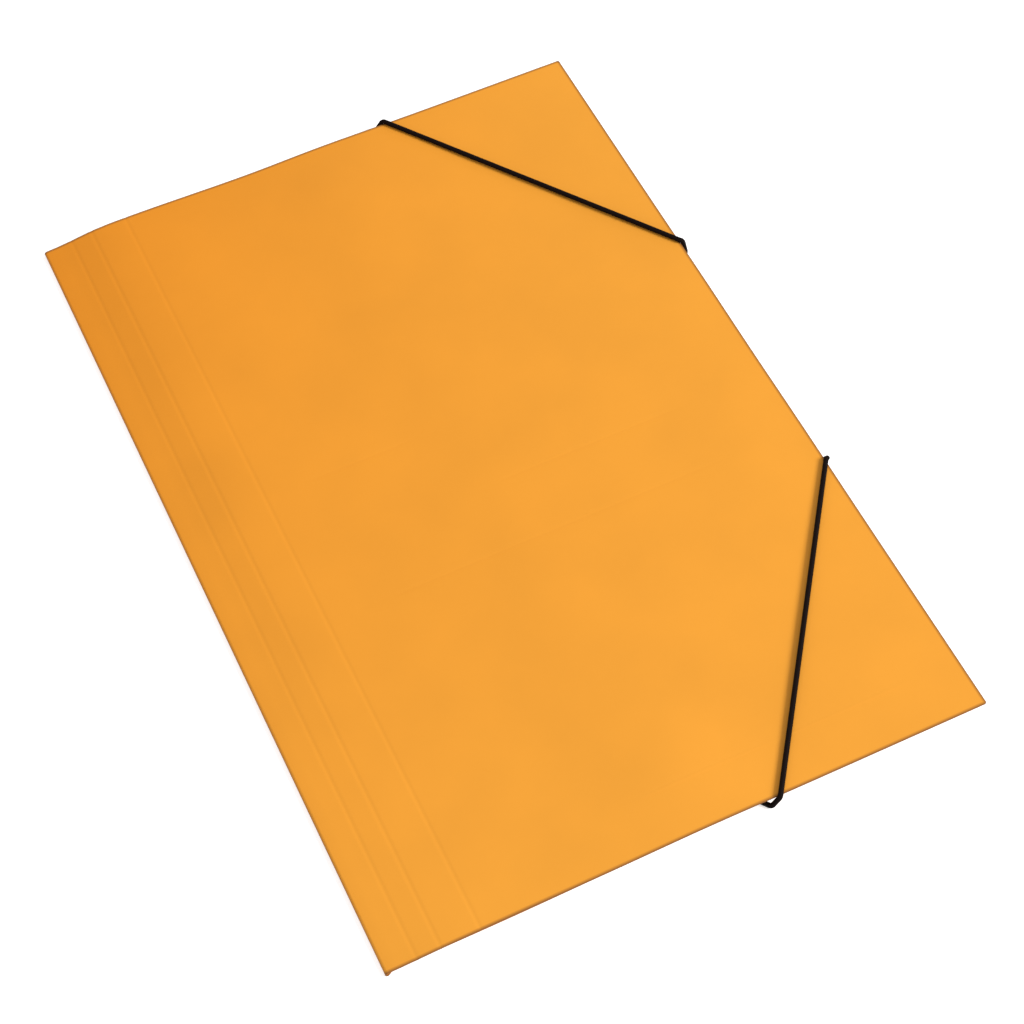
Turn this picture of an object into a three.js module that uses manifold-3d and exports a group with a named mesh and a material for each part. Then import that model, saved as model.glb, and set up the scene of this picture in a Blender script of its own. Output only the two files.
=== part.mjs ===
// A three flap folder: one creased sheet of card, folded shut and held by two elastics across its corners.
// Millimetres. +Z is up, +Y points to the head of the folder, and the spine is on the -X side.
import * as THREE from "three";
import { mergeVertices } from "three/addons/utils/BufferGeometryUtils.js";
import Module from "manifold-3d";

// The card
const coverWidth = 236; // spine to fore edge, foolscap
const coverLength = 354; // foot to head, foolscap
const cardThickness = 0.45;
const layerGap = 0.2; // air between two folded layers
const coverOverhang = 1; // how far the front cover stands past the folds below it
const cornerRadius = 0.8; // of the front cover's fore corners

// Creases
const spineCreases = [12, 21, 36]; // from the spine fold, on both covers
const creaseHalfWidth = 0.9;
const creaseDepth = 0.15;
const flapCreaseInset = 20; // from a flap's fold to its second crease

// Flaps
const endFlapDepth = 95; // head flap and foot flap
const foreFlapDepth = 110;
const flapTaper = 12; // how much each side of a flap draws in towards its tip
const flapCornerRadius = 12;
const flapRelief = 2.5; // from the end of a flap's fold to the next fold
const endFlapSpineInset = 4; // from the spine fold to the side of the head and foot flaps

// Elastics and the metal ends that hold them
const cordDiameter = 2;
const cordClearance = 0.3; // between an elastic and the card
const cordSides = 8;
const cordBend = 2; // bend of the elastic's middle line where it turns up into its hole
const headAlongEnd = 82; // from the fore edge to where the head elastic crosses the head edge
const headAlongFore = 114; // from the head edge to where it crosses the fore edge
const footAlongEnd = 84; // the same two distances for the foot elastic
const footAlongFore = 118;
const endHoleInset = 30; // hole near the head or foot edge: inwards from that edge
const endHoleFromFore = 111; // the same hole, from the fore edge
const foreHoleInset = 24; // hole near the fore edge: inwards from that edge
const foreHoleFromMiddle = 42; // the same hole, from the middle of the folder's length
const holeClearance = 0.5; // between an elastic and the wall of its hole
const metalEndLength = 12;
const metalEndWidth = 4.6;
const metalEndThickness = 1;
const metalEndRoof = 0.35; // metal left over the blind socket
const metalEndClearance = 0.25; // above and below a metal end

// How the sheet lies
const liftEnd = 130; // from the spine, where the card has risen over the elastics below it
const endBump = 1.65; // rise of the layers over a metal end near the head or foot edge
const foreBump = 0.75; // the same near the fore edge
const bumpSpread = 20; // how far such a rise reaches
const springPeak = 28; // from the spine, where the front cover springs up most
const springEnd = 105; // from the spine, where it lies on the flaps again
const springAtHead = 2.8; // how far it springs up at the head edge
const springAtFoot = 0.8; // the same at the foot edge

// Fineness of the card's surface
const stepsAlongLength = 16;
const gridStep = 21;
const arcSteps = 5;
const bendSteps = 4; // of an elastic, in each quarter turn

// Values that follow from the sizes above
const layerPitch = cardThickness + layerGap;
const coverUnderside = 3 * layerPitch;
const stackHeight = coverUnderside + cardThickness;
const cordRadius = cordDiameter / 2;
const cordLift = cordDiameter + cordClearance;
const edgeReach = cordClearance + cordRadius; // from a cover's edge to the middle line of an elastic
const spineX = -(coverWidth + edgeReach + cordRadius) / 2; // the whole folder is centred over the origin
const foreX = spineX + coverWidth;
const halfLength = coverLength / 2;
const endFoldRadius = (layerPitch + cardThickness) / 2;
const foreFoldRadius = (2 * layerPitch + cardThickness) / 2;
const spineFoldRadius = stackHeight / 2;
const backHalfLength = halfLength - coverOverhang - endFoldRadius;
const foreFoldX = foreX - coverOverhang - foreFoldRadius;

const wasm = await Module();
wasm.setup();

function smoothstep(value, start, end) {
  const t = THREE.MathUtils.clamp((value - start) / (end - start), 0, 1);
  return t * t * (3 - 2 * t);
}

// Where each elastic goes through the back cover, and how far the layers rise over the metal end there.
const holes = [1, -1].flatMap((side) => [
  {
    x: foreX - endHoleFromFore,
    y: side * (halfLength - endHoleInset),
    rise: endBump,
  },
  {
    x: foreX - foreHoleInset,
    y: side * foreHoleFromMiddle,
    rise: foreBump,
  },
]);

// Rise of the back cover and the flaps over the elastics below the fore half of the folder.
function backLift(x) {
  const lastCrease = spineCreases[spineCreases.length - 1];
  return cordLift * smoothstep(x - spineX, lastCrease + 2 * creaseHalfWidth, liftEnd);
}

// How far the front cover springs up beside its creases, where no elastic holds it down.
function coverSpring(x, y) {
  const place = x - spineX;
  const share = smoothstep(y, -halfLength, halfLength);
  const rise = THREE.MathUtils.lerp(springAtFoot, springAtHead, share);
  return rise * smoothstep(place, 0, springPeak) * (1 - smoothstep(place, springPeak, springEnd));
}

// Rise of the front cover, which bends more gently from the spine fold on.
function coverLift(x, y) {
  return cordLift * smoothstep(x - spineX, 0, liftEnd) + coverSpring(x, y);
}

// Rise of every layer above the back cover where it lies over the metal ends.
function bump(x, y) {
  return holes.reduce((sum, hole) => {
    const squared = (x - hole.x) ** 2 + (y - hole.y) ** 2;
    return sum + hole.rise * Math.exp(-squared / (2 * bumpSpread ** 2));
  }, 0);
}

// Height of a point of the sheet that lies at z in the flat stack of layers.
function liftedZ(x, y, z) {
  const aboveBack = THREE.MathUtils.clamp((z - cardThickness) / layerGap, 0, 1);
  const lift = z > coverUnderside - layerGap / 2 ? coverLift(x, y) : backLift(x);
  return z + lift + aboveBack * bump(x, y);
}

function coverTop(x, y) {
  return liftedZ(x, y, stackHeight);
}

// Underside of a metal end that lies on the inner face of the back cover.
function metalEndZ(x) {
  return backLift(x) + cardThickness + metalEndClearance;
}

// Evenly spaced places between two ends, both ends left out.
function between(start, end, step) {
  const count = Math.max(1, Math.ceil(Math.abs(end - start) / step));
  return Array.from({ length: count - 1 }, (_, i) => start + ((end - start) * (i + 1)) / count);
}

// A station is a place on the middle line of a folded sheet's section, with the direction of its outer
// side. A crease is a shallow groove, cut into the outer side at the middle one of three stations.
function flatStation(along, z, outward, cut = 0) {
  return { along, z, outwardAlong: 0, outwardZ: outward, cut };
}

function creaseStations(along, z, outward, direction) {
  return [-1, 0, 1].map((side) =>
    flatStation(
      along + side * direction * creaseHalfWidth,
      z,
      outward,
      side === 0 ? creaseDepth : 0,
    ),
  );
}

// Stations round a half-turn fold, from angle start to angle end in degrees.
function foldStations(centreAlong, centreZ, outerRadius, start, end) {
  return Array.from({ length: arcSteps + 1 }, (_, i) => {
    const angle = THREE.MathUtils.degToRad(start + ((end - start) * i) / arcSteps);
    const radius = outerRadius - cardThickness / 2;
    return {
      along: centreAlong + radius * Math.cos(angle),
      z: centreZ + radius * Math.sin(angle),
      outwardAlong: Math.cos(angle),
      outwardZ: Math.sin(angle),
      cut: 0,
    };
  });
}

// A strip of card with a gridded surface: across it one column of corners for each station, and along it
// even steps. Each corner goes where place(along, z, share) says, and share runs from 0 to 1.
function cardStrip(stations, steps, place) {
  const geometry = new THREE.BoxGeometry(1, 1, 1, stations.length - 1, 1, steps);
  const position = geometry.attributes.position;
  const half = cardThickness / 2;
  for (let i = 0; i < position.count; i += 1) {
    const station = stations[Math.round((position.getX(i) + 0.5) * (stations.length - 1))];
    const offset = position.getY(i) > 0 ? half - station.cut : -half;
    const point = place(
      station.along + offset * station.outwardAlong,
      station.z + offset * station.outwardZ,
      position.getZ(i) + 0.5,
    );
    position.setXYZ(i, point.x, point.y, point.z);
  }
  return geometry;
}

function solidFrom(geometry) {
  const bare = geometry.clone();
  bare.deleteAttribute("normal");
  bare.deleteAttribute("uv");
  const merged = mergeVertices(bare, 1e-4);
  return new wasm.Manifold(
    new wasm.Mesh({
      numProp: 3,
      vertProperties: merged.attributes.position.array,
      triVerts: new Uint32Array(merged.index.array),
    }),
  );
}

function geometryFrom(solid) {
  const mesh = solid.getMesh();
  const geometry = new THREE.BufferGeometry();
  geometry.setAttribute("position", new THREE.BufferAttribute(mesh.vertProperties, mesh.numProp));
  geometry.setIndex(new THREE.BufferAttribute(mesh.triVerts, 1));
  geometry.computeVertexNormals();
  return geometry;
}

// How far an edge draws in at a round corner, from how far into the corner a place is.
function cornerInset(intoCorner, radius) {
  const into = THREE.MathUtils.clamp(intoCorner, 0, radius);
  return radius - Math.sqrt(radius ** 2 - into ** 2);
}

// How far a flap's side has drawn in at a distance from its fold: a straight taper, then a round corner.
function flapSideInset(distance, depth) {
  const taper = (flapTaper * Math.max(distance, 0)) / depth;
  return taper + cornerInset(distance - (depth - flapCornerRadius), flapCornerRadius);
}

// Distances from a flap's fold to the stations across it, tip last.
function flapDistances(depth) {
  const cornerStart = depth - flapCornerRadius;
  return {
    plain: between(flapCreaseInset + creaseHalfWidth, cornerStart, gridStep),
    corner: [0, 0.5, 0.85, 1].map((share) => cornerStart + share * flapCornerRadius),
  };
}

const backZ = cardThickness / 2;
const coverZ = coverUnderside + cardThickness / 2;
const endFlapZ = layerPitch + cardThickness / 2;
const foreFlapZ = 2 * layerPitch + cardThickness / 2;

// Places across the back cover between its last crease and the fore fold, shared with the flaps.
const backPlaces = [
  ...between(spineCreases[spineCreases.length - 1] + creaseHalfWidth, liftEnd, gridStep / 1.5),
  liftEnd,
  ...between(liftEnd, foreFoldX - spineX - flapRelief, gridStep),
];

// The two covers, the spine fold and the fore-edge flap, as one strip that runs from the front cover's
// fore edge round the spine to the flap's tip.
function makeStrip() {
  const flap = flapDistances(foreFlapDepth);
  const lastCrease = spineCreases[spineCreases.length - 1];
  const coverOut = [
    coverWidth,
    coverWidth - 0.3 * cornerRadius,
    coverWidth - cornerRadius,
    ...between(coverWidth - cornerRadius, lastCrease + creaseHalfWidth, gridStep),
  ];
  const stations = [
    ...coverOut.map((place) => flatStation(spineX + place, coverZ, 1)),
    ...[...spineCreases].reverse().flatMap((place) => creaseStations(spineX + place, coverZ, 1, -1)),
    ...foldStations(spineX + spineFoldRadius, spineFoldRadius, spineFoldRadius, 90, 270),
    flatStation(spineX + endFlapSpineInset, backZ, -1),
    ...spineCreases.flatMap((place) => creaseStations(spineX + place, backZ, -1, 1)),
    ...backPlaces.map((place) => flatStation(spineX + place, backZ, -1)),
    flatStation(foreFoldX - flapRelief, backZ, -1),
    ...foldStations(foreFoldX, foreFoldRadius, foreFoldRadius, -90, 90),
    ...creaseStations(foreFoldX - flapCreaseInset, foreFlapZ, 1, -1),
    ...[...flap.plain, ...flap.corner].map((d) => flatStation(foreFoldX - d, foreFlapZ, 1)),
  ];
  const halfLengthAt = (x, z) => {
    const onFlap = z > layerPitch + cardThickness && z < coverUnderside - layerGap / 2;
    const onForeFold = x > foreFoldX - flapRelief / 2 && z < coverUnderside - layerGap / 2;
    if (onForeFold || (onFlap && x > spineX + coverWidth / 4)) {
      return backHalfLength - flapRelief - flapSideInset(foreFoldX - x, foreFlapDepth);
    }
    if (z < layerPitch && x > spineX + (spineFoldRadius + endFlapSpineInset) / 2) {
      return backHalfLength;
    }
    return halfLength - cornerInset(x - (foreX - cornerRadius), cornerRadius);
  };
  return cardStrip(stations, stepsAlongLength, (x, z, share) => {
    const y = (2 * share - 1) * halfLengthAt(x, z);
    return { x, y, z: liftedZ(x, y, z) };
  });
}

// The head flap (side 1) or the foot flap (side -1), with its fold and a short root inside the back cover.
function makeEndFlap(side) {
  const flap = flapDistances(endFlapDepth);
  const root = backHalfLength - endFoldRadius;
  const stations = [
    flatStation(root, backZ, -1),
    ...foldStations(backHalfLength, endFoldRadius, endFoldRadius, -90, 90),
    ...creaseStations(backHalfLength - flapCreaseInset, endFlapZ, 1, -1),
    ...[...flap.plain, ...flap.corner].map((d) => flatStation(backHalfLength - d, endFlapZ, 1)),
  ];
  const left = spineX + endFlapSpineInset;
  const right = foreFoldX - flapRelief;
  const middle = (left + right) / 2;
  const halfWidth = (right - left) / 2;
  const places = [
    left,
    ...spineCreases.map((place) => spineX + place),
    ...backPlaces.map((place) => spineX + place),
    right,
  ];
  const lastPlace = places.length - 1;
  return cardStrip(stations, lastPlace, (along, z, share) => {
    const place = places[Math.round((side > 0 ? 1 - share : share) * lastPlace)];
    const onFlap = z > layerPitch - layerGap / 2;
    const inset = onFlap ? flapSideInset(backHalfLength - along, endFlapDepth) : 0;
    const x = middle + ((place - middle) * (halfWidth - inset)) / halfWidth;
    const y = side * along;
    return { x, y, z: liftedZ(x, y, z) };
  });
}

function makeHoleCutter(hole) {
  const length = cardThickness + 2 * cordClearance;
  const radius = cordRadius + holeClearance;
  const cylinder = new THREE.CylinderGeometry(radius, radius, length, 16);
  cylinder.rotateX(Math.PI / 2);
  cylinder.translate(hole.x, hole.y, backLift(hole.x) + cardThickness / 2);
  return cylinder;
}

function makeSheet() {
  let sheet = solidFrom(makeStrip());
  for (const side of [1, -1]) {
    sheet = sheet.add(solidFrom(makeEndFlap(side)));
  }
  for (const hole of holes) {
    sheet = sheet.subtract(solidFrom(makeHoleCutter(hole)));
  }
  return geometryFrom(sheet);
}

// A curve through a list of places, with one step of the extrusion at each place.
class StationCurve extends THREE.Curve {
  constructor(points) {
    super();
    this.points = points;
  }

  getPoint(t, target = new THREE.Vector3()) {
    const last = this.points.length - 1;
    const index = Math.min(Math.floor(t * last + 1e-6), last - 1);
    return target.lerpVectors(this.points[index], this.points[index + 1], t * last - index);
  }

  getPointAt(u, target) {
    return this.getPoint(u, target);
  }

  getTangent(t, target = new THREE.Vector3()) {
    const last = this.points.length - 1;
    const index = Math.round(t * last);
    const before = this.points[Math.max(index - 1, 0)];
    const after = this.points[Math.min(index + 1, last)];
    return target.subVectors(after, before).normalize();
  }

  getTangentAt(u, target) {
    return this.getTangent(u, target);
  }
}

// Places round a quarter turn, as pairs of a distance and a height.
function quarterTurn(centre, centreZ, radius, start) {
  return Array.from({ length: bendSteps + 1 }, (_, i) => {
    const angle = THREE.MathUtils.degToRad(start + (90 * i) / bendSteps);
    return [centre + radius * Math.cos(angle), centreZ + radius * Math.sin(angle)];
  });
}

// The middle line of an elastic from its hole, under the back cover and round an edge, up to the front
// cover. It leans along the edge by the same share of each millimetre, as a taut line does.
function wrapPoints(hole, edgePoint, outward) {
  const topZ = coverTop(edgePoint.x, edgePoint.y);
  const inset = edgePoint.clone().sub(hole).dot(outward);
  const lean = edgePoint.clone().sub(hole).addScaledVector(outward, -inset);
  const section = [
    ...quarterTurn(0, cordLift, edgeReach, -90),
    ...quarterTurn(0, topZ, edgeReach, 0),
  ];
  const lengths = [inset];
  for (let i = 1; i < section.length; i += 1) {
    const [out, z] = section[i];
    const [lastOut, lastZ] = section[i - 1];
    lengths.push(lengths[i - 1] + Math.hypot(out - lastOut, z - lastZ));
  }
  const total = lengths[lengths.length - 1];
  const round = section.map(([out, z], i) =>
    hole
      .clone()
      .addScaledVector(outward, inset + out)
      .addScaledVector(lean, lengths[i] / total)
      .setZ(z),
  );
  const under = round[0].clone().sub(hole).setZ(0).normalize();
  const bend = quarterTurn(cordBend, cordRadius + cordBend, cordBend, 180);
  const upIntoHole = bend.map(([out, z]) => hole.clone().addScaledVector(under, out).setZ(z));
  const socketZ = metalEndZ(hole.x) + metalEndThickness - metalEndRoof;
  return [hole.clone().setZ(socketZ - cordClearance), ...upIntoHole, ...round];
}

// One elastic, from its hole near the head or foot edge to its hole near the fore edge.
function elasticPath(side) {
  const [endHole, foreHole] = holes
    .filter((hole) => Math.sign(hole.y) === side)
    .map((hole) => new THREE.Vector3(hole.x, hole.y, 0));
  const alongEnd = side > 0 ? headAlongEnd : footAlongEnd;
  const alongFore = side > 0 ? headAlongFore : footAlongFore;
  const endEdge = new THREE.Vector3(foreX - alongEnd, side * halfLength, 0);
  const foreEdge = new THREE.Vector3(foreX, side * (halfLength - alongFore), 0);
  return [
    ...wrapPoints(endHole, endEdge, new THREE.Vector3(0, side, 0)),
    ...wrapPoints(foreHole, foreEdge, new THREE.Vector3(1, 0, 0)).reverse(),
  ];
}

function makeElastic(side) {
  const points = elasticPath(side);
  const section = new THREE.Shape(
    Array.from({ length: cordSides }, (_, i) => {
      const angle = (2 * Math.PI * i) / cordSides;
      return new THREE.Vector2(cordRadius * Math.cos(angle), cordRadius * Math.sin(angle));
    }),
  );
  return new THREE.ExtrudeGeometry(section, {
    steps: points.length - 1,
    extrudePath: new StationCurve(points),
    bevelEnabled: false,
  });
}

// A flat crimped metal end, with a blind socket below that takes the end of the elastic.
function makeMetalEnd() {
  const round = metalEndWidth / 2;
  const reach = metalEndLength / 2 - round;
  const outline = new THREE.Shape();
  outline.absarc(reach, 0, round, -Math.PI / 2, Math.PI / 2);
  outline.absarc(-reach, 0, round, Math.PI / 2, (3 * Math.PI) / 2);
  const bar = new THREE.ExtrudeGeometry(outline, {
    depth: metalEndThickness,
    bevelEnabled: false,
    curveSegments: 6,
  });
  const socketDepth = metalEndThickness - metalEndRoof;
  const socketRadius = cordRadius + cordClearance;
  const socket = new THREE.CylinderGeometry(socketRadius, socketRadius, 2 * socketDepth, 12);
  socket.rotateX(Math.PI / 2);
  return geometryFrom(solidFrom(bar).subtract(solidFrom(socket)));
}

const card = new THREE.MeshStandardMaterial({ color: 0xf3a03c, roughness: 0.55, metalness: 0 });
const elastic = new THREE.MeshStandardMaterial({ color: 0x17100d, roughness: 0.8, metalness: 0 });
const metal = new THREE.MeshStandardMaterial({ color: 0xb9bcc0, roughness: 0.35, metalness: 1 });

const folder = new THREE.Group();

function addPiece(name, geometry, material) {
  const mesh = new THREE.Mesh(geometry, material);
  mesh.name = name;
  folder.add(mesh);
  return mesh;
}

addPiece("folder_sheet", makeSheet(), card);
addPiece("elastic_head", makeElastic(1), elastic);
addPiece("elastic_foot", makeElastic(-1), elastic);

const metalEndNames = [
  "metal_end_head_edge",
  "metal_end_head_fore",
  "metal_end_foot_edge",
  "metal_end_foot_fore",
];
holes.forEach((hole, i) => {
  const mesh = addPiece(metalEndNames[i], makeMetalEnd(), metal);
  const nearForeEdge = i % 2 === 1;
  mesh.position.set(hole.x, hole.y, metalEndZ(hole.x));
  mesh.rotation.z = nearForeEdge ? Math.PI / 2 : 0;
});

export default folder;
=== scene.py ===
import math

import bmesh
import bpy
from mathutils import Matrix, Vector


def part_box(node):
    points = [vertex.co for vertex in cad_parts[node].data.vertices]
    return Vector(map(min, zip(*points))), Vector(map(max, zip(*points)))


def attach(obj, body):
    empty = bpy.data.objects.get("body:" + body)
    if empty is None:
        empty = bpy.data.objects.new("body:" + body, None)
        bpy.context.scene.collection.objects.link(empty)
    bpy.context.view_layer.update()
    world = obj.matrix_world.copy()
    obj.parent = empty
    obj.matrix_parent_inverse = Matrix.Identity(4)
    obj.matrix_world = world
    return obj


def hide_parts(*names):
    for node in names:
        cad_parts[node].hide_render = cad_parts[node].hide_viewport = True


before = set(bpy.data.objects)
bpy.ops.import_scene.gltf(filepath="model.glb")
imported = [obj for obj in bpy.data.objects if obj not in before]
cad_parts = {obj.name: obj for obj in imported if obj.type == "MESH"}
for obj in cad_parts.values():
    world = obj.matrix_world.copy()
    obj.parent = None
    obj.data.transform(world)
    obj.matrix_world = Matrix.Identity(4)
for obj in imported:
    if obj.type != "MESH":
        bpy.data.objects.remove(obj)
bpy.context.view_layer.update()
MM = 0.001

# The folded card. One blank of smooth orange card, die-cut and creased: the back cover, the spine fold,
# the front cover, and three flaps that fold in over the back cover from head, foot and fore edge.
# It is modelled as its middle surface, folded by spinning its edges, and then given its thickness.
CARD = 0.45 * MM
LAYER_GAP = 0.2 * MM
COVER_WIDTH = 236 * MM
COVER_LENGTH = 354 * MM
OVERHANG = 1 * MM
CORNER_RADIUS = 0.8 * MM
SPINE_CREASES = (12 * MM, 21 * MM, 36 * MM)
CREASE_HALF = 1.1 * MM
CREASE_DEPTH = 0.1 * MM
FLAP_CREASE = 20 * MM
END_FLAP = 95 * MM
FORE_FLAP = 110 * MM
FLAP_TAPER = 12 * MM
FLAP_CORNER = 12 * MM
FLAP_RELIEF = 2.5 * MM
FLAP_INSET = 4 * MM
CORD_DIAMETER = 2 * MM
CORD_CLEARANCE = 0.3 * MM
LIFT_START = 37.8 * MM
LIFT_END = 130 * MM
BUMP_SPREAD = 20 * MM
SPRING_PEAK = 28 * MM
SPRING_END = 105 * MM
SPRING_AT_HEAD = 2.8 * MM
SPRING_AT_FOOT = 0.8 * MM
END_BUMP = 1.65 * MM
FORE_BUMP = 0.75 * MM
END_HOLE_FROM_FORE = 111 * MM
END_HOLE_FROM_END = 30 * MM
FORE_HOLE_FROM_FORE = 24 * MM
FORE_HOLE_FROM_MIDDLE = 42 * MM
GRID = 8 * MM

pitch = CARD + LAYER_GAP
cover_underside = 3 * pitch
stack = cover_underside + CARD
cord_lift = CORD_DIAMETER + CORD_CLEARANCE
cord_radius = CORD_DIAMETER / 2
spine_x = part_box("folder_sheet")[0].x
fore_x = spine_x + COVER_WIDTH
half_length = COVER_LENGTH / 2
end_fold = (pitch + CARD) / 2
fore_fold = (2 * pitch + CARD) / 2
spine_fold = stack / 2
back_half = half_length - OVERHANG - end_fold
fore_fold_x = fore_x - OVERHANG - fore_fold
back_z = CARD / 2
cover_z = stack - CARD / 2

# Holes of the elastics in the back cover, each with how far the layers rise over the metal end there.
HOLES = [
    (Vector((x, side * y, 0)), rise)
    for side in (1, -1)
    for x, y, rise in (
        (fore_x - END_HOLE_FROM_FORE, half_length - END_HOLE_FROM_END, END_BUMP),
        (fore_x - FORE_HOLE_FROM_FORE, FORE_HOLE_FROM_MIDDLE, FORE_BUMP),
    )
]


def smoothstep(value, start, end):
    """Goes smoothly from 0 at the start to 1 at the end."""
    t = min(max((value - start) / (end - start), 0.0), 1.0)
    return t * t * (3 - 2 * t)


def back_lift(x):
    """The back cover and flaps rise over the elastics that run below the fore half."""
    return cord_lift * smoothstep(x - spine_x, LIFT_START, LIFT_END)


def cover_lift(x, y):
    """The front cover bends gently from the spine, and springs up where no elastic holds it down."""
    place = x - spine_x
    share = smoothstep(y, -half_length, half_length)
    spring = SPRING_AT_FOOT + (SPRING_AT_HEAD - SPRING_AT_FOOT) * share
    spring *= smoothstep(place, 0, SPRING_PEAK) * (1 - smoothstep(place, SPRING_PEAK, SPRING_END))
    return cord_lift * smoothstep(place, 0, LIFT_END) + spring


def bump(x, y):
    """Every layer above the back cover swells gently over the four metal ends."""
    spread = 2 * BUMP_SPREAD**2
    return sum(
        rise * math.exp(-((x - hole.x) ** 2 + (y - hole.y) ** 2) / spread)
        for hole, rise in HOLES
    )


def lifted(x, y, z):
    """Height of a point that lies at z in the flat stack of layers."""
    above_back = min(max((z - CARD) / LAYER_GAP, 0.0), 1.0)
    on_cover = z > cover_underside - LAYER_GAP / 2
    return z + (cover_lift(x, y) if on_cover else back_lift(x)) + above_back * bump(x, y)


def select_only(obj):
    """Leaves one object selected and active."""
    bpy.ops.object.select_all(action="DESELECT")
    obj.select_set(True)
    bpy.context.view_layer.objects.active = obj


def pick(obj, kind, test):
    """Selects in edit mode the verts, edges or faces whose every corner passes a test, and nothing else."""
    bpy.ops.mesh.select_mode(type={"verts": "VERT", "edges": "EDGE", "faces": "FACE"}[kind])
    bpy.ops.mesh.select_all(action="DESELECT")
    mesh = bmesh.from_edit_mesh(obj.data)
    for part in getattr(mesh, kind):
        corners = [part.co] if kind == "verts" else [v.co for v in part.verts]
        part.select_set(all(test(co) for co in corners))
    bmesh.update_edit_mesh(obj.data)


def near(a, b):
    """True for two places within 0.02 mm."""
    return abs(a - b) < 0.02 * MM


def extrude_edge(move):
    """Pulls the selected edges out into a new strip of card."""
    bpy.ops.mesh.extrude_region_move(TRANSFORM_OT_translate={"value": move})


def cut(obj, place, normal):
    """Cuts the whole sheet along a plane."""
    bpy.ops.mesh.select_all(action="SELECT")
    bpy.ops.mesh.bisect(plane_co=place, plane_no=normal, threshold=1e-6)


def apply_modifier(obj, name, kind, **values):
    """Adds a modifier with its values and makes it real."""
    modifier = obj.modifiers.new(name, kind)
    for key, value in values.items():
        setattr(modifier, key, value)
    select_only(obj)
    bpy.ops.object.modifier_apply(modifier=modifier.name)


# The back cover is a plane. Past the strip by the spine it is a little shorter than the front cover.
back_left = spine_x + spine_fold
back_right = fore_fold_x - FLAP_RELIEF
flap_left = spine_x + FLAP_INSET
bpy.ops.object.select_all(action="DESELECT")
bpy.ops.mesh.primitive_plane_add(size=1, location=((flap_left + back_right) / 2, 0, back_z))
card = bpy.context.active_object
card.name = "folder_card"
card.scale = (back_right - flap_left, 2 * back_half, 1)
bpy.ops.object.transform_apply(location=True, rotation=True, scale=True)
bpy.ops.object.mode_set(mode="EDIT")
pick(card, "edges", lambda co: near(co.x, flap_left))
extrude_edge((back_left - flap_left, 0, 0))
bpy.ops.transform.resize(value=(1, half_length / back_half, 1), center_override=(0, 0, 0))

# The spine fold is a half turn of its left edge, and the front cover is pulled out of the end of it.
pick(card, "edges", lambda co: near(co.x, back_left))
bpy.ops.mesh.spin(steps=10, angle=-math.pi, center=(back_left, 0, spine_fold), axis=(0, 1, 0))
pick(card, "edges", lambda co: near(co.x, back_left) and near(co.z, cover_z))
extrude_edge((fore_x - back_left, 0, 0))
pick(card, "verts", lambda co: near(co.x, fore_x))
bpy.ops.mesh.bevel(offset=CORNER_RADIUS, segments=4, affect="VERTICES")

# The fore-edge flap: a short relief, a half turn, and the flap with its sides drawn in.
pick(card, "edges", lambda co: near(co.x, back_right) and near(co.z, back_z))
extrude_edge((FLAP_RELIEF, 0, 0))
fore_root = (back_half - FLAP_RELIEF) / back_half
bpy.ops.transform.resize(value=(1, fore_root, 1), center_override=(0, 0, 0))
bpy.ops.mesh.spin(steps=8, angle=math.pi, center=(fore_fold_x, 0, fore_fold), axis=(0, 1, 0))
extrude_edge((-FORE_FLAP, 0, 0))
fore_tip = (back_half - FLAP_RELIEF - FLAP_TAPER) / (back_half - FLAP_RELIEF)
bpy.ops.transform.resize(value=(1, fore_tip, 1), center_override=(0, 0, 0))
fore_flap_z = 2 * fore_fold - CARD / 2
pick(
    card,
    "verts",
    lambda co: near(co.x, fore_fold_x - FORE_FLAP) and near(co.z, fore_flap_z),
)
bpy.ops.mesh.bevel(offset=FLAP_CORNER, segments=6, affect="VERTICES")

# The head and foot flaps come out of the back cover's end edges.
end_flap_z = 2 * end_fold - CARD / 2
flap_middle = (flap_left + back_right) / 2
for side in (1, -1):
    end_y = side * back_half

    def on_root(co):
        return near(co.y, end_y) and near(co.z, back_z) and flap_left - 1e-5 < co.x < back_right + 1e-5

    pick(card, "edges", on_root)
    bpy.ops.mesh.spin(
        steps=8, angle=-side * math.pi, center=(0, end_y, end_fold), axis=(1, 0, 0)
    )
    extrude_edge((0, -side * END_FLAP, 0))
    tip = 1 - 2 * FLAP_TAPER / (back_right - flap_left)
    bpy.ops.transform.resize(value=(tip, 1, 1), center_override=(flap_middle, 0, 0))
    tip_y = side * (back_half - END_FLAP)
    pick(card, "verts", lambda co: near(co.y, tip_y) and near(co.z, end_flap_z))
    bpy.ops.mesh.bevel(offset=FLAP_CORNER, segments=6, affect="VERTICES")

# Even cuts both ways give the card a grid that can bend. Creases and ruled lines get seven cuts each.
LINE_SHARES = (-1.4, -1, -0.5, 0, 0.5, 1, 1.4)
RULE_HALF = 0.8 * MM
RULE_DEPTH = 0.05 * MM
RULES = (
    (156 * MM, 50 * MM, 100 * MM),
    (188.5 * MM, 115 * MM, 200 * MM),
    (218 * MM, 58 * MM, 200 * MM),
)
IMPRINT = (334 * MM, 100 * MM, 217 * MM)
IMPRINT_HEIGHT = 0.03 * MM
x_cuts = [spine_x + place + CREASE_HALF * s for place in SPINE_CREASES for s in LINE_SHARES]
x_cuts += [fore_fold_x - FLAP_CREASE + CREASE_HALF * s for s in LINE_SHARES]
y_cuts = [side * (back_half - FLAP_CREASE) + CREASE_HALF * s for side in (1, -1) for s in LINE_SHARES]
y_cuts += [half_length - y + RULE_HALF * s for y, _, _ in (*RULES, IMPRINT) for s in LINE_SHARES]
RIM = 1.3 * MM
x_cuts += [fore_x - RIM]
y_cuts += [RIM - half_length, half_length - RIM]


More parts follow.
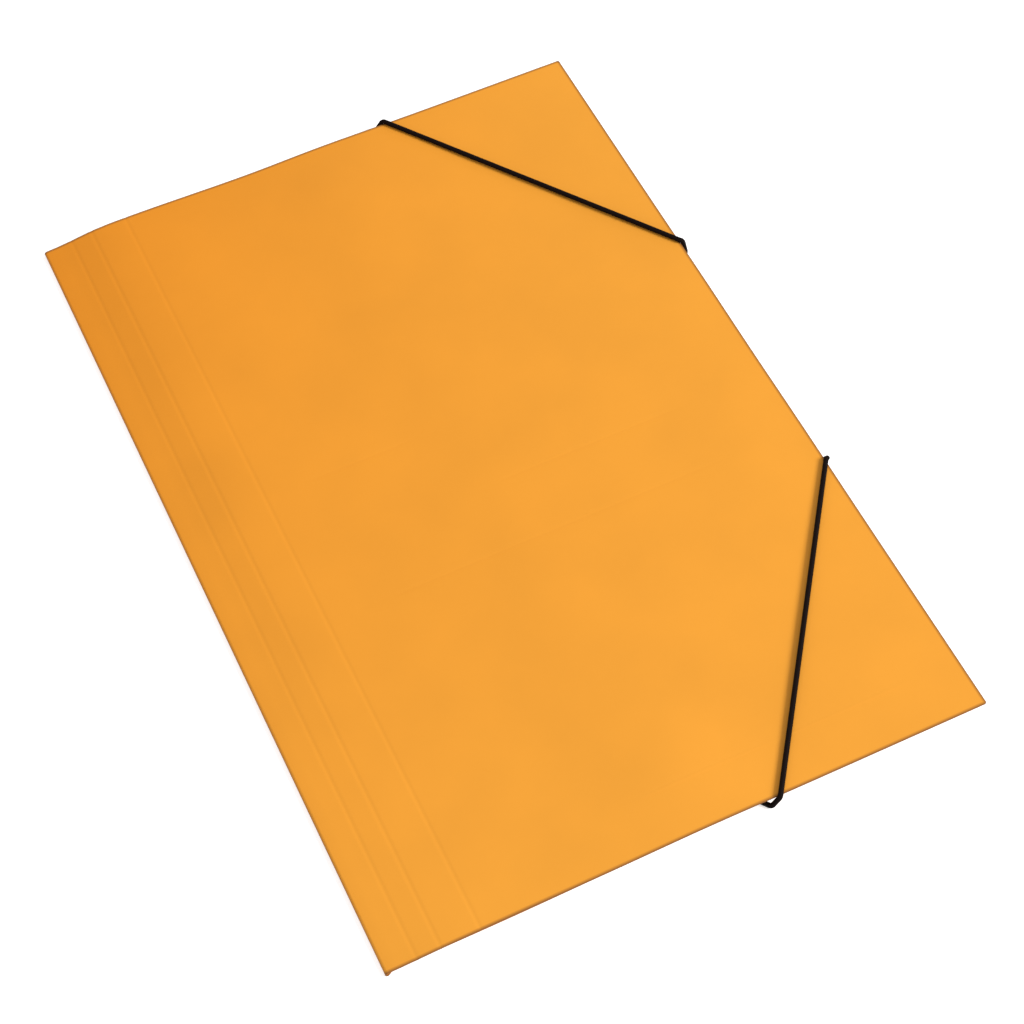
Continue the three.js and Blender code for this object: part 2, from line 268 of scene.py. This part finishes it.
def fill_between(cuts, low, high):
    """Adds cuts until no two lie further apart than the grid."""
    edges = sorted([low, *cuts, high])
    added = []
    for a, b in zip(edges, edges[1:]):
        count = math.ceil((b - a) / GRID)
        added += [a + (b - a) * i / count for i in range(1, count)]
    return sorted([*cuts, *added])


for x in fill_between(x_cuts, spine_x + spine_fold, fore_x):
    cut(card, (x, 0, 0), (1, 0, 0))
for y in fill_between(y_cuts, -half_length, half_length):
    cut(card, (0, y, 0), (0, 1, 0))
bpy.ops.object.mode_set(mode="OBJECT")


# Each crease sinks the card by a rounded groove, and then every layer is lifted to where it lies.
def groove(distance, half):
    """A rounded groove's share of its depth, 1 in the middle and 0 from its half-width on."""
    return 0.5 + 0.5 * math.cos(math.pi * min(abs(distance) / half, 1.0))


def rule_fade(x, start, end):
    """A ruled line that fades in and out over its ends."""
    return smoothstep(x, start, start + GRID) * (1 - smoothstep(x, end - GRID, end))


def crease_depth(co):
    """How far the card is pressed at a point: up on the back cover, and down on every layer above it."""
    x, y = co.x - spine_x, half_length - co.y
    depth = 0.0
    on_layer = 1.0 if co.z > cover_z - LAYER_GAP else 1 - smoothstep(co.z, back_z, back_z + 0.3 * MM)
    depth += on_layer * CREASE_DEPTH * sum(groove(x - place, CREASE_HALF) for place in SPINE_CREASES)
    if co.z > cover_z - LAYER_GAP:
        for place, start, end in RULES:
            depth += RULE_DEPTH * groove(y - place, RULE_HALF) * rule_fade(x, start, end)
        place, start, end = IMPRINT
        depth -= IMPRINT_HEIGHT * groove(y - place, RULE_HALF) * rule_fade(x, start, end)
    if near(co.z, fore_flap_z):
        depth += CREASE_DEPTH * groove(co.x - (fore_fold_x - FLAP_CREASE), CREASE_HALF)
    if near(co.z, end_flap_z):
        depth += CREASE_DEPTH * groove(abs(co.y) - (back_half - FLAP_CREASE), CREASE_HALF)
    return depth


for vertex in card.data.vertices:
    co = vertex.co
    inward = 1 if co.z < back_z + 0.3 * MM else -1
    pressed = inward * crease_depth(co)
    co.z = lifted(co.x, co.y, co.z) + pressed

bpy.ops.object.mode_set(mode="EDIT")
bpy.ops.mesh.select_all(action="SELECT")
bpy.ops.mesh.remove_doubles(threshold=1e-6)
bpy.ops.mesh.normals_make_consistent(inside=False)
bpy.ops.object.mode_set(mode="OBJECT")
apply_modifier(card, "card_thickness", "SOLIDIFY", thickness=CARD, offset=0)

# The elastics' holes are punched through the back cover.
HOLE_RADIUS = cord_radius + 0.5 * MM
PUNCH_DEPTH = 1.05 * MM
for hole, _ in HOLES:
    bpy.ops.object.select_all(action="DESELECT")
    bpy.ops.mesh.primitive_cylinder_add(
        vertices=32,
        radius=HOLE_RADIUS,
        depth=PUNCH_DEPTH,
        location=(hole.x, hole.y, back_lift(hole.x) + back_z),
    )
    punch = bpy.context.active_object
    apply_modifier(card, "punched_hole", "BOOLEAN", operation="DIFFERENCE", object=punch)
    bpy.data.objects.remove(punch)

select_only(card)
bpy.ops.object.shade_smooth_by_angle(angle=math.radians(35))

# A painted shade band along the cut edges of the front cover and the spine, standing in for the shading of
# an edge that the die rounds over: 1 at the edge, 0 inside.
rim_shade = card.data.attributes.new("rim_shade", "FLOAT", "POINT")
for vertex, value in zip(card.data.vertices, rim_shade.data):
    x_in = fore_x - vertex.co.x
    y_in = half_length - abs(vertex.co.y)
    inside = min(x_in, y_in)
    if max(x_in, y_in) < CORNER_RADIUS:
        inside = CORNER_RADIUS - math.hypot(CORNER_RADIUS - x_in, CORNER_RADIUS - y_in)
    value.value = 1 - min(max(inside / RIM, 0.0), 1.0)


def srgb(red, green, blue):
    """A colour given as 0 to 255 on screen, as Blender's linear values."""
    return tuple(((c / 255 + 0.055) / 1.055) ** 2.4 for c in (red, green, blue)) + (1.0,)


def new_material(name):
    """A material with its node tree and its shader."""
    material = bpy.data.materials.new(name)
    material.use_nodes = True
    return material, material.node_tree.nodes, material.node_tree.links


def fibre_group():
    """Fine fibre of pressed card: a height for the bump and a mottle for the colour."""
    group = bpy.data.node_groups.new("card_fibre", "ShaderNodeTree")
    group.interface.new_socket("Vector", in_out="INPUT", socket_type="NodeSocketVector")
    group.interface.new_socket("Height", in_out="OUTPUT", socket_type="NodeSocketFloat")
    group.interface.new_socket("Mottle", in_out="OUTPUT", socket_type="NodeSocketFloat")
    nodes, links = group.nodes, group.links
    entry = nodes.new("NodeGroupInput")
    leave = nodes.new("NodeGroupOutput")
    stretch = nodes.new("ShaderNodeMapping")
    stretch.inputs["Scale"].default_value = (1.0, 0.45, 1.0)
    fine = nodes.new("ShaderNodeTexNoise")
    fine.inputs["Scale"].default_value = 1900
    fine.inputs["Detail"].default_value = 4
    broad = nodes.new("ShaderNodeTexNoise")
    broad.inputs["Scale"].default_value = 26
    broad.inputs["Detail"].default_value = 5
    links.new(entry.outputs["Vector"], stretch.inputs["Vector"])
    links.new(stretch.outputs["Vector"], fine.inputs["Vector"])
    links.new(entry.outputs["Vector"], broad.inputs["Vector"])
    links.new(fine.outputs["Fac"], leave.inputs["Height"])
    links.new(broad.outputs["Fac"], leave.inputs["Mottle"])
    return group


card_fibre = fibre_group()


def card_material():
    """Smooth dyed card, a little darker towards the spine's head end by painted shade, with painted shade
    on its cut edges and fold outsides.
    """
    material, nodes, links = new_material("orange_card")
    shader = nodes["Principled BSDF"]
    shader.inputs["Roughness"].default_value = 0.55
    shader.inputs["Specular IOR Level"].default_value = 0.2
    place = nodes.new("ShaderNodeTexCoord")
    fibre = nodes.new("ShaderNodeGroup")
    fibre.node_tree = card_fibre
    links.new(place.outputs["Object"], fibre.inputs["Vector"])

    # Painted shade: the colour darkens from the fore edge's foot end towards the spine's head end, as the
    # lamp's light falls off.
    split = nodes.new("ShaderNodeSeparateXYZ")
    links.new(place.outputs["Object"], split.inputs["Vector"])
    across = nodes.new("ShaderNodeMapRange")
    across.inputs["From Min"].default_value = fore_x
    across.inputs["From Max"].default_value = spine_x
    links.new(split.outputs["X"], across.inputs["Value"])
    down = nodes.new("ShaderNodeMapRange")
    down.inputs["From Min"].default_value = -half_length
    down.inputs["From Max"].default_value = half_length
    links.new(split.outputs["Y"], down.inputs["Value"])
    corner = nodes.new("ShaderNodeMath")
    corner.operation = "MULTIPLY"
    links.new(across.outputs["Result"], corner.inputs[0])
    links.new(down.outputs["Result"], corner.inputs[1])
    tone = nodes.new("ShaderNodeMix")
    tone.data_type = "RGBA"
    tone.inputs["A"].default_value = srgb(245, 164, 53)
    tone.inputs["B"].default_value = srgb(238, 146, 32)
    links.new(corner.outputs["Value"], tone.inputs["Factor"])

    mottle = nodes.new("ShaderNodeMapRange")
    mottle.inputs["From Min"].default_value = 0.35
    mottle.inputs["From Max"].default_value = 0.65
    mottle.inputs["To Min"].default_value = 0.975
    mottle.inputs["To Max"].default_value = 1.02
    links.new(fibre.outputs["Mottle"], mottle.inputs["Value"])
    mottled = nodes.new("ShaderNodeVectorMath")
    mottled.operation = "SCALE"
    links.new(tone.outputs["Result"], mottled.inputs[0])
    links.new(mottle.outputs["Result"], mottled.inputs["Scale"])

    # A cut edge or a fold's outside faces to the side, and such faces get a darker colour: painted shade.
    geometry = nodes.new("ShaderNodeNewGeometry")
    facing = nodes.new("ShaderNodeSeparateXYZ")
    links.new(geometry.outputs["Normal"], facing.inputs["Vector"])
    upright = nodes.new("ShaderNodeMath")
    upright.operation = "ABSOLUTE"
    links.new(facing.outputs["Z"], upright.inputs[0])
    sideways_shade = nodes.new("ShaderNodeMapRange")
    sideways_shade.inputs["From Min"].default_value = 0.75
    sideways_shade.inputs["From Max"].default_value = 0.25
    links.new(upright.outputs["Value"], sideways_shade.inputs["Value"])
    edge = nodes.new("ShaderNodeMix")
    edge.data_type = "RGBA"
    edge.inputs["B"].default_value = srgb(196, 122, 50)
    links.new(sideways_shade.outputs["Result"], edge.inputs["Factor"])
    links.new(mottled.outputs["Vector"], edge.inputs["A"])
    # Painted shade: a dark brown band is mixed in along the cut edges.
    rim_shade = nodes.new("ShaderNodeAttribute")
    rim_shade.attribute_name = "rim_shade"
    dull = nodes.new("ShaderNodeMix")
    dull.data_type = "RGBA"
    dull.inputs["B"].default_value = srgb(142, 90, 44)
    links.new(rim_shade.outputs["Fac"], dull.inputs["Factor"])
    links.new(edge.outputs["Result"], dull.inputs["A"])
    links.new(dull.outputs["Result"], shader.inputs["Base Color"])

    relief = nodes.new("ShaderNodeBump")
    relief.inputs["Strength"].default_value = 0.12
    relief.inputs["Distance"].default_value = 0.00006
    links.new(fibre.outputs["Height"], relief.inputs["Height"])
    links.new(relief.outputs["Normal"], shader.inputs["Normal"])
    return material


card.data.materials.clear()
card.data.materials.append(card_material())
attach(card, "root")
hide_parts("folder_sheet")

# The two elastics. Each is one round cord with a black braided cover, held in two holes of the back
# cover. It runs under the card, round an edge, straight across the corner, and back round the other edge.
HEAD_CROSSINGS = (82 * MM, 114 * MM)
FOOT_CROSSINGS = (84 * MM, 118 * MM)
CORD_TOUCH = 0.06 * MM
CORD_BEND = 2 * MM
CORD_SIDES = 20
BEND_STEPS = 8
RUN_STEPS = 24
METAL_END_GAP = 0.25 * MM
SOCKET_DEPTH = 0.65 * MM


def quarter_turn(centre, centre_z, radius, start):
    """Points on a quarter circle, each as how far out and how high, from a start angle on."""
    turn = [math.radians(start + 90 * i / BEND_STEPS) for i in range(BEND_STEPS + 1)]
    return [(centre + radius * math.cos(a), centre_z + radius * math.sin(a)) for a in turn]


def wrap_route(hole, edge, outward):
    """The cord's middle line from its hole, under the back cover and round an edge to its top."""
    reach = cord_radius + CORD_TOUCH
    top_z = lifted(edge.x, edge.y, stack)
    inset = (edge - hole).dot(outward)
    lean = (edge - hole) - outward * inset
    section = quarter_turn(0, cord_lift - CORD_CLEARANCE + CORD_TOUCH, reach, -90)
    section += quarter_turn(0, top_z, reach, 0)
    lengths = [inset]
    for (out, z), (last_out, last_z) in zip(section[1:], section):
        lengths.append(lengths[-1] + math.hypot(out - last_out, z - last_z))
    turned = []
    for (out, z), length in zip(section, lengths):
        point = hole + outward * (inset + out) + lean * (length / lengths[-1])
        turned.append(Vector((point.x, point.y, z)))
    under = (turned[0] - hole) * Vector((1, 1, 0))
    under.normalize()
    bend = [
        hole + under * out + Vector((0, 0, z))
        for out, z in quarter_turn(CORD_BEND, cord_radius + CORD_BEND, CORD_BEND, 180)
    ]
    end_z = back_lift(hole.x) + CARD + METAL_END_GAP + SOCKET_DEPTH - CORD_CLEARANCE
    flat = [bend[-1].lerp(turned[0], i / 6) for i in range(1, 6)]
    return [hole + Vector((0, 0, end_z)), *bend, *flat, *turned]


def elastic_route(side):
    """The whole middle line of the head elastic (side 1) or the foot elastic (side -1)."""
    end_hole, fore_hole = [hole for hole, _ in HOLES if hole.y * side > 0]
    along_end, along_fore = HEAD_CROSSINGS if side > 0 else FOOT_CROSSINGS
    end_edge = Vector((fore_x - along_end, side * half_length, 0))
    fore_edge = Vector((fore_x, side * (half_length - along_fore), 0))
    first = wrap_route(end_hole, end_edge, Vector((0, side, 0)))
    last = wrap_route(fore_hole, fore_edge, Vector((1, 0, 0)))[::-1]
    run = []
    for i in range(1, RUN_STEPS):
        point = first[-1].lerp(last[0], i / RUN_STEPS)
        point.z = max(point.z, lifted(point.x, point.y, stack) + cord_radius + CORD_TOUCH)
        run.append(point)
    return first + run + last


def cord_mesh(name, route):
    """A closed tube along a route, with a map whose U runs along it in cord diameters and V round it."""
    mesh = bmesh.new()
    uv = mesh.loops.layers.uv.new("UVMap")
    rings = []
    lengths = [0.0]
    side = Vector((0, 0, 1)).cross(route[-1] - route[0]).normalized()
    for i, point in enumerate(route):
        tangent = (route[min(i + 1, len(route) - 1)] - route[max(i - 1, 0)]).normalized()
        side = (side - tangent * side.dot(tangent)).normalized()
        other = tangent.cross(side)
        turn = [2 * math.pi * k / CORD_SIDES for k in range(CORD_SIDES)]
        rings.append(
            [
                mesh.verts.new(point + cord_radius * (side * math.cos(a) + other * math.sin(a)))
                for a in turn
            ]
        )
        if i:
            lengths.append(lengths[-1] + (point - route[i - 1]).length)
    for i in range(len(route) - 1):
        for k in range(CORD_SIDES):
            after = (k + 1) % CORD_SIDES
            face = mesh.faces.new(
                [rings[i][k], rings[i][after], rings[i + 1][after], rings[i + 1][k]]
            )
            face.smooth = True
            along = (lengths[i] / CORD_DIAMETER, lengths[i + 1] / CORD_DIAMETER)
            corners = ((along[0], k), (along[0], k + 1), (along[1], k + 1), (along[1], k))
            for loop, (u, v) in zip(face.loops, corners):
                loop[uv].uv = (u, v / CORD_SIDES)
    mesh.faces.new(rings[0][::-1])
    mesh.faces.new(rings[-1])
    data = bpy.data.meshes.new(name)
    mesh.to_mesh(data)
    mesh.free()
    cord = bpy.data.objects.new(name, data)
    bpy.context.scene.collection.objects.link(cord)
    return cord


def elastic_material():
    """Black braided polyester over rubber: strands cross in two directions round the cord."""
    material, nodes, links = new_material("black_braid")
    shader = nodes["Principled BSDF"]
    shader.inputs["Roughness"].default_value = 0.7
    shader.inputs["Specular IOR Level"].default_value = 0.1
    place = nodes.new("ShaderNodeUVMap")
    place.uv_map = "UVMap"
    split = nodes.new("ShaderNodeSeparateXYZ")
    links.new(place.outputs["UV"], split.inputs["Vector"])
    waves = []
    for direction in (1, -1):
        around = nodes.new("ShaderNodeMath")
        around.operation = "MULTIPLY"
        around.inputs[1].default_value = 8 * direction
        links.new(split.outputs["Y"], around.inputs[0])
        along = nodes.new("ShaderNodeMath")
        along.operation = "MULTIPLY_ADD"
        along.inputs[1].default_value = 3
        links.new(split.outputs["X"], along.inputs[0])
        links.new(around.outputs["Value"], along.inputs[2])
        phase = nodes.new("ShaderNodeMath")
        phase.operation = "MULTIPLY"
        phase.inputs[1].default_value = 2 * math.pi
        links.new(along.outputs["Value"], phase.inputs[0])
        wave = nodes.new("ShaderNodeMath")
        wave.operation = "SINE"
        links.new(phase.outputs["Value"], wave.inputs[0])
        waves.append(wave)
    braid = nodes.new("ShaderNodeMath")
    braid.operation = "MULTIPLY"
    links.new(waves[0].outputs["Value"], braid.inputs[0])
    links.new(waves[1].outputs["Value"], braid.inputs[1])
    # The braid's height also sets its colour, so the hollows between strands are darker: painted shade.
    tone = nodes.new("ShaderNodeMapRange")
    tone.inputs["From Min"].default_value = -1
    links.new(braid.outputs["Value"], tone.inputs["Value"])
    colour = nodes.new("ShaderNodeMix")
    colour.data_type = "RGBA"
    colour.inputs["A"].default_value = srgb(6, 3, 3)
    colour.inputs["B"].default_value = srgb(26, 12, 9)
    links.new(tone.outputs["Result"], colour.inputs["Factor"])
    links.new(colour.outputs["Result"], shader.inputs["Base Color"])
    relief = nodes.new("ShaderNodeBump")
    relief.inputs["Strength"].default_value = 0.5
    relief.inputs["Distance"].default_value = 0.0001
    links.new(tone.outputs["Result"], relief.inputs["Height"])
    links.new(relief.outputs["Normal"], shader.inputs["Normal"])
    return material


braid_material = elastic_material()
for side, node in ((1, "elastic_head"), (-1, "elastic_foot")):
    cord = cord_mesh(node + "_cord", elastic_route(side))
    cord.data.materials.append(braid_material)
    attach(cord, "root")
    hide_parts(node)


# The four metal ends. Each is a flat crimped bar of nickel-plated steel behind a hole in the back cover,
# lying between that cover and a flap, so the solids keep their shape and get the metal's finish.
def metal_material():
    """Nickel-plated steel with a fine uneven polish."""
    material, nodes, links = new_material("plated_steel")
    shader = nodes["Principled BSDF"]
    shader.inputs["Metallic"].default_value = 1.0
    place = nodes.new("ShaderNodeTexCoord")
    grain = nodes.new("ShaderNodeTexNoise")
    grain.inputs["Scale"].default_value = 2400
    links.new(place.outputs["Object"], grain.inputs["Vector"])
    tone = nodes.new("ShaderNodeMix")
    tone.data_type = "RGBA"
    tone.inputs["A"].default_value = srgb(176, 178, 182)
    tone.inputs["B"].default_value = srgb(206, 207, 210)
    links.new(grain.outputs["Fac"], tone.inputs["Factor"])
    links.new(tone.outputs["Result"], shader.inputs["Base Color"])
    dull = nodes.new("ShaderNodeMapRange")
    dull.inputs["To Min"].default_value = 0.25
    dull.inputs["To Max"].default_value = 0.42
    links.new(grain.outputs["Fac"], dull.inputs["Value"])
    links.new(dull.outputs["Result"], shader.inputs["Roughness"])
    return material


plated_steel = metal_material()
for name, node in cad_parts.items():
    if name.startswith("metal_end"):
        node.data.materials.clear()
        node.data.materials.append(plated_steel)

# The floor is a wide pale sheet that shows as white and keeps the folder's shadow.
bpy.ops.object.select_all(action="DESELECT")
bpy.ops.mesh.primitive_plane_add(size=8, location=(0, 0, -0.02 * MM))
floor = bpy.context.active_object
floor.name = "pale_floor"
floor_material, nodes, links = new_material("pale_floor")
shader = nodes["Principled BSDF"]
shader.inputs["Base Color"].default_value = (0.86, 0.86, 0.86, 1)
shader.inputs["Roughness"].default_value = 0.9
shader.inputs["Specular IOR Level"].default_value = 0.1
glow = nodes.new("ShaderNodeEmission")
seen = nodes.new("ShaderNodeLightPath")
glow_level = nodes.new("ShaderNodeMath")
glow_level.operation = "MULTIPLY"
glow_level.inputs[1].default_value = 0.58
links.new(seen.outputs["Is Camera Ray"], glow_level.inputs[0])
links.new(glow_level.outputs["Value"], glow.inputs["Strength"])
both = nodes.new("ShaderNodeAddShader")
links.new(shader.outputs["BSDF"], both.inputs[0])
links.new(glow.outputs["Emission"], both.inputs[1])
links.new(both.outputs["Shader"], nodes["Material Output"].inputs["Surface"])
floor.data.materials.append(floor_material)

# Soft studio light: a white surround, and one wide lamp out beyond the fore edge and the foot.
world = bpy.data.worlds.new("white_surround")
bpy.context.scene.world = world
world.use_nodes = True
world.node_tree.nodes["Background"].inputs["Color"].default_value = (1, 1, 1, 1)
world.node_tree.nodes["Background"].inputs["Strength"].default_value = 0.54


def soft_lamp(name, place, target, size, power):
    """A round soft lamp that faces its target."""
    data = bpy.data.lights.new(name, "AREA")
    data.shape = "DISK"
    data.size = size
    data.energy = power
    lamp = bpy.data.objects.new(name, data)
    lamp.location = place
    lamp.rotation_euler = (Vector(target) - Vector(place)).to_track_quat("-Z", "Y").to_euler()
    bpy.context.scene.collection.objects.link(lamp)


soft_lamp("wide_lamp", (3.0, -1.98, 2.52), (0.02, -0.02, 0), 1.8, 166)

# The camera stands where the photograph's stood: its place and lens follow from the cover's corners.
camera_data = bpy.data.cameras.new("camera")
camera_data.sensor_width = 36
camera_data.sensor_fit = "HORIZONTAL"
camera_data.lens = 86.077
camera_data.clip_start = 0.01
camera = bpy.data.objects.new("camera", camera_data)
camera.location = (-0.19882, -0.50436, 0.77857)
camera.rotation_euler = (math.radians(33.6979), math.radians(1.7571), math.radians(-25.1343))
bpy.context.scene.collection.objects.link(camera)
bpy.context.scene.camera = camera
bpy.context.scene.view_settings.view_transform = "Standard"
